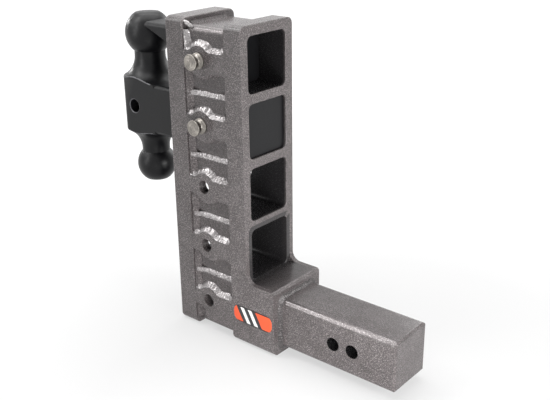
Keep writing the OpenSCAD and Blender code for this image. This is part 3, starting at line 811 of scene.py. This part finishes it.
def round_edges(piece, radius, chosen, finish=None, clamp=True):
    """Round the sharp edges of a piece whose middles in millimetres are chosen, in a finish of their
    own if one is given. A round is clamped to the smallest face beside a chosen edge unless clamp is
    off."""
    mesh = piece.data
    ends = rows_of(mesh.edges, "vertices", 2, int)
    sharp = rows_of(mesh.edges, "use_edge_sharp", 1, bool)[:, 0]
    middles = rows_of(mesh.vertices, "co", 3)[ends].mean(axis=1) / MM
    weights = (sharp & chosen(*middles.T)).astype(np.float32)
    mesh.attributes.new("bevel_weight_edge", "FLOAT", "EDGE").data.foreach_set("value", weights)
    bevel = piece.modifiers.new("rounded_edges", "BEVEL")
    bevel.limit_method = "WEIGHT"
    bevel.width = radius * MM
    bevel.segments = 3
    bevel.harden_normals = True
    bevel.use_clamp_overlap = clamp
    if finish:
        mesh.materials.append(finish)
        bevel.material = len(mesh.materials) - 1


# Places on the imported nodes, from coordinates in millimetres

def near(value, target, slack=0.05):
    """True where a value is at a target, within a slack in millimetres."""
    return np.abs(value - target) < slack


def on_foot_edge(x, y, z):
    """True on the round along the foot's upper edge over the shank."""
    inside = np.minimum(x - foot_x, z - foot_high[2]) > EDGE_SLACK - FOOT_EDGE_RADIUS
    return inside & (z < foot_high[2] + EDGE_SLACK)


def on_plate_edge(x, y, z):
    """True along a comb plate's outer edges, and along both edges of its top."""
    return near(np.abs(y), outer_y) | ((z > stack_top) & (np.abs(y) > side_y + EDGE_SLACK))


def on_collar_edge(x, y, z):
    """True along the collar's outer edges, at the back only over the tubes."""
    beyond = (z > stack_top + EDGE_SLACK) | (z < stack_bottom - EDGE_SLACK)
    outside = (np.abs(y) > side_y + EDGE_SLACK) | beyond
    return outside & ((x < collar_x - EDGE_SLACK) | (z > stack_top))


def on_top_bar_edge(x, y, z):
    """True along the long upper edges of the bar that closes the top."""
    return (z > stack_top + TOP_BAR_RISE) & (np.abs(y) < side_y - EDGE_SLACK)


def on_shank_end(x, y, z):
    """True along the edges of the shank's free end."""
    return x > shank_high[0] - SHANK_END_REACH


def on_shank_round(x, y, z):
    """True on the rounds along the shank's upper edges."""
    return np.minimum(np.abs(y), z) > shank_high[1] - SHANK_EDGE_RADIUS + 2 * EDGE_SLACK


def in_shank_hole(x, y, z):
    """True on the walls of the shank's pin holes, which reach from side to side."""
    along = (x > SHANK_HOLES_START) & (x < SHANK_HOLES_END)
    return near(y, 0, slack=1) & (np.abs(z) < SHANK_HOLE_REACH) & along


def on_block_edge(x, y, z):
    """True along the ball block's upper and lower edges, as far towards the bar as they are rounded,
    and near the cross hole's rim."""
    off_middle = np.abs(z - levels[1]) > BLOCK_MIDDLE
    reach = np.where(off_middle, BLOCK_EDGE_REACH, HOLE_RIM_REACH)
    on_side = near(np.abs(y), mount_high[1]) & (x < block_x + reach)
    on_end = near(np.hypot(x - block_x, y), BLOCK_END_RADIUS, slack=0.3) & off_middle
    return on_side | on_end


def on_lock_nose(x, y, z):
    """True on the part of the lock that stands out of its receiver."""
    return x < mouth_x - LOCK_CLEAR


# Pieces

def receiver(number, level, inside):
    """One receiver tube, with the inside finish in its bore, a thin coat on its sides between the fingers,
    darker as painted shade, and on its upper rounds, lighter as a painted highlight, and rounded edges at
    both ends of the bore."""
    def off_axis(y, z):
        return np.maximum(np.abs(y), np.abs(z - level))

    def in_bore(x, y, z):
        return off_axis(y, z) < side_y - TUBE_INSIDE

    def in_pocket(x, y, z):
        outside = off_axis(y, z) > side_y - TUBE_INSIDE
        on_side = np.abs(y) > side_y - TUBE_RADIUS + ROUND_SLACK
        under_round = z < stack_top - TUBE_RADIUS + ROUND_SLACK
        between_ends = (x > mouth_x + ROUND_SLACK) & (x < rear_x - ROUND_SLACK)
        return outside & on_side & under_round & between_ends

    def on_upper_round(x, y, z):
        return np.minimum(np.abs(y) - side_y, z - stack_top) > ROUND_SLACK - TUBE_RADIUS

    def on_bore_end(x, y, z):
        return (off_axis(y, z) < side_y - TUBE_SKIN) & (near(x, rear_x) | near(x, mouth_x))

    tube = joined(f"receiver_tube_{number}", coat, "grey_coat")
    patch(tube, [(inside, in_bore), (pocket_shade_coat, in_pocket), (edge_highlight_coat, on_upper_round)])
    round_edges(tube, TUBE_END_ROUND, on_bore_end)


for side, mirrored in (("near", False), ("far", True)):
    finger_welds(side, mirrored)
    collar_welds(side, mirrored)
    seam_beads(side, mirrored)
    plate = joined(f"side_plate_{side}", coat, "grey_coat")
    # The foot's upper round and the plates' outer edges take the lighter edge coat, a painted highlight
    patch(plate, [(edge_highlight_coat, on_foot_edge)])
    round_edges(plate, PLATE_ROUND, on_plate_edge, edge_highlight_coat)
shank_bead()
decal_film()
clip_wire("clip_wire_upper", "upper_clip", levels[0], "clip_upper")
clip_wire("clip_wire_lower", "lower_clip", levels[1], "clip_lower")

# Edges of the collar and top bar, the foot's upper round, and the shank's upper rounds and end take the
# lighter edge coat, a painted highlight
round_edges(joined("front_collar", coat, "grey_coat"), PLATE_ROUND, on_collar_edge, edge_highlight_coat)
round_edges(joined("rear_top_bar", coat, "grey_coat"), PLATE_ROUND, on_top_bar_edge, edge_highlight_coat)
# The foot's top darkens towards the tower as painted shadow, and the shank's pin holes are dark as painted
# shade
patch(joined("foot_top_plate", floor_shadow_coat, "grey_coat"), [(edge_highlight_coat, on_foot_edge)])
shank = joined("shank", coat, "grey_coat")
patch(shank, [(hole_shade_coat, in_shank_hole), (edge_highlight_coat, on_shank_round)])
round_edges(shank, SHANK_END_ROUND, on_shank_end, edge_highlight_coat)
# The lowest opening at the rear is coated further in than the others, and its floor darkens on into the
# foot's as painted shadow of the tower
for number, level in enumerate(levels, start=1):
    receiver(number, level, floor_shadow_coat if number == RECEIVERS - 1 else inside_shade_coat)
# The ball block's edges in the greyer, glossier black: a painted highlight
round_edges(joined("ball_mount", black, "satin_black"), BLOCK_ROUND, on_block_edge, black_edge_highlight,
            clamp=False)
round_edges(joined("pintle_lock", black, "satin_black"), LOCK_ROUND, on_lock_nose)
for place, level in zip(("upper", "lower"), levels):
    finish = turned_stainless(f"turned_stainless_{place}", level)
    joined(f"hitch_pin_{place}", finish, "stainless", body=f"{place}_pin", cut_y=head_cut)
    pin_head(place, level, finish)

for name in ("foot_bottom_plate", "seam_welds_near", "seam_welds_far", "collar_weld_top",
             "collar_weld_bottom"):
    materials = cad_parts[name].data.materials
    materials.clear()
    materials.append(coat)


# Stage, light and camera

def seen_rays(tree):
    """One where a ray comes straight from the camera, from a reflection or through glass, else zero."""
    rays = add(tree, "ShaderNodeLightPath").outputs
    seen = rays["Is Camera Ray"]
    for kind in ("Is Glossy Ray", "Is Transmission Ray"):
        seen = add(tree, "ShaderNodeMath", {0: seen, 1: rays[kind]}, operation="MAXIMUM").outputs["Value"]
    return seen


def studio_floor():
    """Pale floor under the part: seen directly or in a reflection it is lifted towards white, and
    what light reaches it still shows, so the part's shadow stays."""
    half = 30.0
    height = cad_low[2]
    mesh = bpy.data.meshes.new("floor")
    mesh.from_pydata([(-half, -half, height), (half, -half, height), (half, half, height),
                      (-half, half, height)], [], [(0, 1, 2, 3)])
    material, tree, shader = blank("pale_floor")
    place = add(tree, "ShaderNodeTexCoord").outputs["Object"]
    away = add(tree, "ShaderNodeVectorMath", {0: place}, operation="LENGTH")
    lift = add(tree, "ShaderNodeMapRange",
               {"Value": away.outputs["Value"], "From Min": 0.3, "From Max": 1.6,
                "To Min": 0.56, "To Max": 1.0})
    glow = add(tree, "ShaderNodeMath", {0: seen_rays(tree), 1: lift.outputs["Result"]},
               operation="MULTIPLY")
    fill(tree, shader, {"Base Color": srgb("939393"), "Roughness": 0.9,
                        "Emission Color": srgb("ffffff"), "Emission Strength": glow.outputs["Value"]})
    mesh.materials.append(material)
    floor = bpy.data.objects.new("floor", mesh)
    bpy.context.scene.collection.objects.link(floor)


def studio_world():
    """White surroundings where they are seen or reflected, and a low even light elsewhere."""
    world = bpy.data.worlds.new("studio")
    bpy.context.scene.world = world
    world.use_nodes = True
    tree = world.node_tree
    level = add(tree, "ShaderNodeMapRange", {"Value": seen_rays(tree), "To Min": 0.1, "To Max": 1.0})
    fill(tree, tree.nodes["Background"], {"Color": srgb("ffffff"), "Strength": level.outputs["Result"]})


def stand(name, data, right, up, back, at):
    """A lamp or a camera at a point in metres, with the directions of its own three axes."""
    columns = np.eye(4)
    columns[:3, :4] = np.stack([right, up, back, at], axis=1)
    holder = bpy.data.objects.new(name, data)
    holder.matrix_world = Matrix(columns.tolist())
    bpy.context.scene.collection.objects.link(holder)
    return holder


def soft_box(name, at, aim, width, height, power, mat=True, gloss=True):
    """A rectangular lamp at one point, facing another, in metres and watts. Without mat it shows
    only in the gloss of a surface, as a strip along an edge, and without gloss it makes no spot."""
    lamp = bpy.data.lights.new(name, "AREA")
    lamp.shape = "RECTANGLE"
    lamp.size = width
    lamp.size_y = height
    lamp.energy = power
    away = np.array(at) - np.array(aim)
    away /= np.linalg.norm(away)
    right = np.cross((0, 0, 1), away)
    right /= np.linalg.norm(right)
    holder = stand(name, lamp, right, np.cross(away, right), away, at)
    holder.visible_diffuse = mat
    holder.visible_glossy = gloss


def photo_camera():
    """The photograph's camera: forward from yaw and pitch, then rolled about that direction."""
    yaw, pitch, roll = np.radians([CAMERA_YAW, CAMERA_PITCH, CAMERA_ROLL])
    forward = np.array([np.cos(pitch) * np.cos(yaw), np.cos(pitch) * np.sin(yaw), np.sin(pitch)])
    level_right = np.array([np.sin(yaw), -np.cos(yaw), 0])
    level_up = np.cross(level_right, forward)
    right = np.cos(roll) * level_right + np.sin(roll) * level_up
    up = np.cos(roll) * level_up - np.sin(roll) * level_right
    data = bpy.data.cameras.new("photo_camera")
    data.sensor_fit = "HORIZONTAL"
    data.sensor_width = SENSOR_WIDTH
    data.lens = SENSOR_WIDTH * FOCAL_PIXELS / IMAGE_WIDTH
    at = np.array(CAMERA_AT) * MM
    bpy.context.scene.camera = stand("photo_camera", data, right, up, -forward, at)


middle = (-0.15, 0.0, 0.15)
over_shank = (0.0, 0.0, 0.1)
studio_floor()
studio_world()
# Each lamp's place and aim, width and height, and power
soft_box("overhead", (-0.4, 0.25, 1.5), middle, 1.4, 1.4, 22)
soft_box("right", (1.35, 0.0, 0.4), middle, 0.7, 0.7, 18)
soft_box("low_right", (0.75, -0.5, 0.05), (0.0, 0.0, 0.0), 0.3, 0.3, 2.8, gloss=False)
soft_box("low_front", (0.08, -0.4, 0.0), (-0.03, 0.0, 0.0), 0.25, 0.2, 2.6, gloss=False)
soft_box("left_strip", (-1.2, -0.82, 0.95), middle, 0.6, 0.3, 2, mat=False)
soft_box("front_strip", (-0.75, -1.15, 0.6), over_shank, 0.2, 1.1, 6, mat=False)
soft_box("high_left", (-0.95, -0.6, 1.35), over_shank, 0.5, 0.5, 7)
soft_box("back", (-0.3, 1.5, 0.7), middle, 0.8, 0.8, 6)
soft_box("left_back", (-1.68, 0.15, 0.6), middle, 0.2, 0.2, 3)
photo_camera()
bpy.context.scene.view_settings.view_transform = "Standard"
